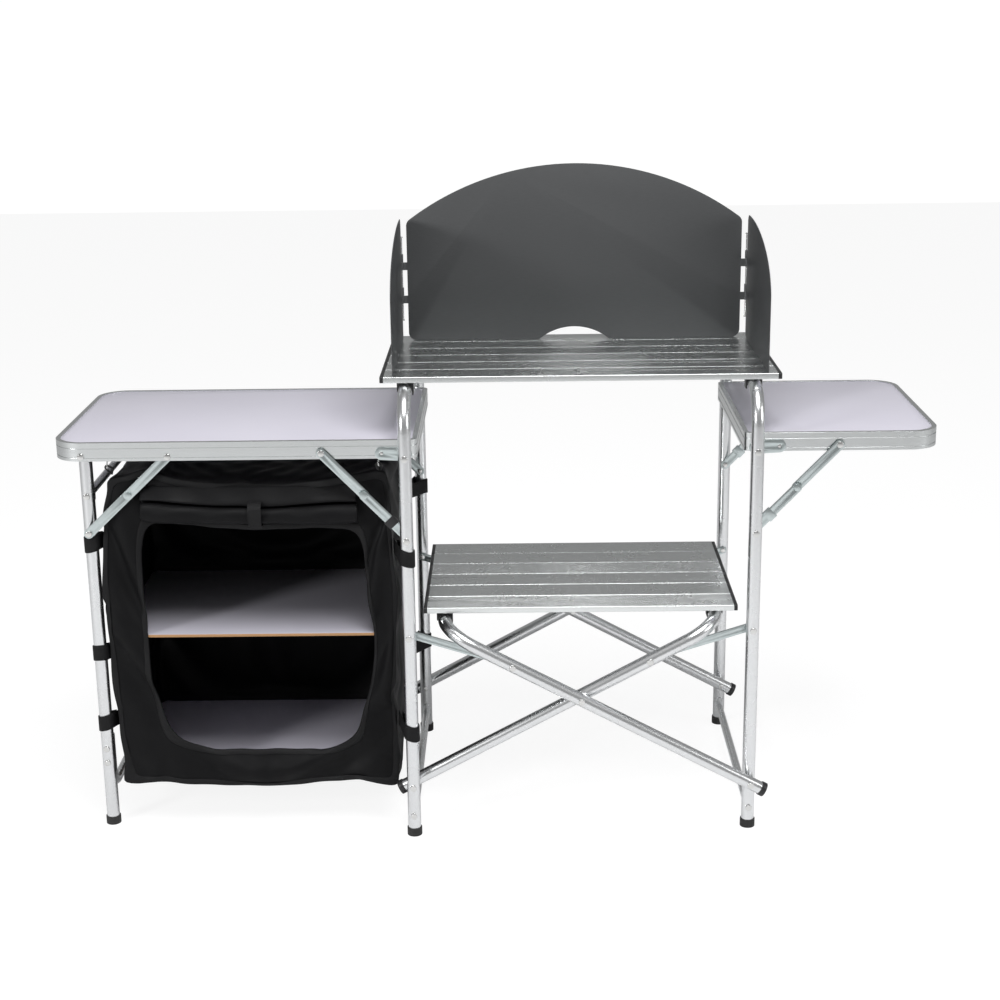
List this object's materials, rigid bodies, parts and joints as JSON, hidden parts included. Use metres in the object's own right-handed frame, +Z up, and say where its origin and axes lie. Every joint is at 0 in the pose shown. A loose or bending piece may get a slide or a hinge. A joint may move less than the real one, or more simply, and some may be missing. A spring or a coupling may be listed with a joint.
{
  "type": "camp kitchen table",
  "caption": "Folding camp kitchen: tube frame with roll-top hob and lower shelves, windshield, two side tables and a cloth cupboard.",
  "frame": {"origin": "on the floor, midway between the left and right ends and between the front and rear legs", "axes": "+X to the right along the longest side, +Y to the back, +Z up"},
  "size_m": [1.47, 0.5022, 1.109],
  "materials": {
    "frame_tube": "drawn aluminium tube, satin",
    "black_cap": "black moulded plastic",
    "foot_rubber": "black rubber",
    "galvanised": "zinc-plated steel strip",
    "fastener": "zinc-plated rivets and bolts",
    "slat_aluminium": "extruded aluminium, half gloss",
    "shock_cord": "black elastic cord",
    "laminate": "fibreboard with a lavender-grey laminate",
    "edge_aluminium": "fluted extruded aluminium edge",
    "cupboard_cloth": "black coated polyester",
    "strap_webbing": "black hook-and-loop webbing",
    "shield_sheet": "dark grey powder-coated sheet",
    "hinge_rod": "bright steel wire"
  },
  "bodies": {
    "frame": {"cross_frame_a": "frame_tube", "cross_frame_b": "frame_tube", "cross_frame_caps": "black_cap", "cross_links": "galvanised", "cupboard_door_roll": "cupboard_cloth", "cupboard_door_tie": "strap_webbing", "cupboard_floor_board": "laminate", "cupboard_hangers": "shock_cord", "cupboard_shelf_board": "laminate", "cupboard_shell": "cupboard_cloth", "cupboard_straps": "strap_webbing", "frame_rivets": "fastener", "hinge_bolts": "fastener", "left_end_bar": "frame_tube", "left_end_leg_front": "frame_tube", "left_end_leg_rear": "frame_tube", "left_end_rail": "frame_tube", "left_inner_stays": "galvanised", "left_leg_frame": "frame_tube", "left_outer_stays": "galvanised", "left_stay_sleeves": "black_cap", "left_table_board": "laminate", "left_table_brackets": "galvanised", "left_table_edge": "edge_aluminium", "left_table_screws": "fastener", "leg_stretchers": "frame_tube", "right_leg_frame": "frame_tube", "rubber_feet": "foot_rubber", "spacer_bushes": "black_cap"},
    "hob_shelf": {"hob_end_caps": "black_cap", "hob_shelf_clips": "black_cap", "hob_shelf_cords": "shock_cord", "hob_slat_1": "slat_aluminium", "hob_slat_2": "slat_aluminium", "hob_slat_3": "slat_aluminium", "hob_slat_4": "slat_aluminium", "hob_slat_5": "slat_aluminium", "hob_slat_6": "slat_aluminium"},
    "lower_shelf": {"lower_end_caps": "black_cap", "lower_shelf_clips": "black_cap", "lower_shelf_cords": "shock_cord", "lower_slat_1": "slat_aluminium", "lower_slat_2": "slat_aluminium", "lower_slat_3": "slat_aluminium", "lower_slat_4": "slat_aluminium", "lower_slat_5": "slat_aluminium", "lower_slat_6": "slat_aluminium"},
    "windshield": {"windshield_centre": "shield_sheet", "windshield_hinge_rods": "hinge_rod"},
    "left_wing": {"windshield_left_wing": "shield_sheet"},
    "right_wing": {"windshield_right_wing": "shield_sheet"},
    "right_table": {"right_table_board": "laminate", "right_table_edge": "edge_aluminium", "right_table_brackets": "galvanised", "right_table_screws": "fastener"},
    "front_lower_stay": {"right_front_stay_lower": "galvanised"},
    "front_upper_stay": {"right_front_stay_upper": "galvanised"},
    "rear_lower_stay": {"right_rear_stay_lower": "galvanised"},
    "rear_upper_stay": {"right_rear_stay_upper": "galvanised"}
  },
  "joints": [
    {"name": "hob_shelf_lift", "type": "slide", "parent": "frame", "child": "hob_shelf", "axis": [0, 0, 1], "range_m": [0, 0.12]},
    {"name": "lower_shelf_lift", "type": "slide", "parent": "frame", "child": "lower_shelf", "axis": [0, 0, 1], "range_m": [0, 0.2]},
    {"name": "windshield_lift", "type": "slide", "parent": "hob_shelf", "child": "windshield", "axis": [0, 0, 1], "range_m": [0, 0.15]},
    {"name": "left_wing_fold", "type": "hinge", "parent": "windshield", "child": "left_wing", "pos_m": [-0.17, 0.138, 0.9], "axis": [0, 0, 1], "range_deg": [-90, 75]},
    {"name": "right_wing_fold", "type": "hinge", "parent": "windshield", "child": "right_wing", "pos_m": [0.448, 0.138, 0.9], "axis": [0, 0, -1], "range_deg": [-90, 60]},
    {"name": "right_table_fold", "type": "hinge", "parent": "frame", "child": "right_table", "pos_m": [0.428, 0.01125, 0.673], "axis": [0, 1, 0], "range_deg": [0, 85]},
    {"name": "front_lower_stay_turn", "type": "hinge", "parent": "frame", "child": "front_lower_stay", "pos_m": [0.428, -0.19875, 0.5335], "axis": [0, -1, 0], "range_deg": [0, 46.05]},
    {"name": "front_upper_stay_turn", "type": "hinge", "parent": "right_table", "child": "front_upper_stay", "pos_m": [0.5665, -0.19875, 0.677], "axis": [0, 1, 0], "range_deg": [0, 39.75]},
    {"name": "rear_lower_stay_turn", "type": "hinge", "parent": "frame", "child": "rear_lower_stay", "pos_m": [0.428, 0.22125, 0.5335], "axis": [0, -1, 0], "range_deg": [0, 46.05]},
    {"name": "rear_upper_stay_turn", "type": "hinge", "parent": "right_table", "child": "rear_upper_stay", "pos_m": [0.5665, 0.22125, 0.677], "axis": [0, 1, 0], "range_deg": [0, 39.75]}
  ],
  "couplings": [
    {"joint": "front_lower_stay_turn", "follows": "right_table_fold", "ratio": 0.54116},
    {"joint": "front_upper_stay_turn", "follows": "right_table_fold", "ratio": 0.4671},
    {"joint": "rear_lower_stay_turn", "follows": "right_table_fold", "ratio": 0.54116},
    {"joint": "rear_upper_stay_turn", "follows": "right_table_fold", "ratio": 0.4671}
  ]
}
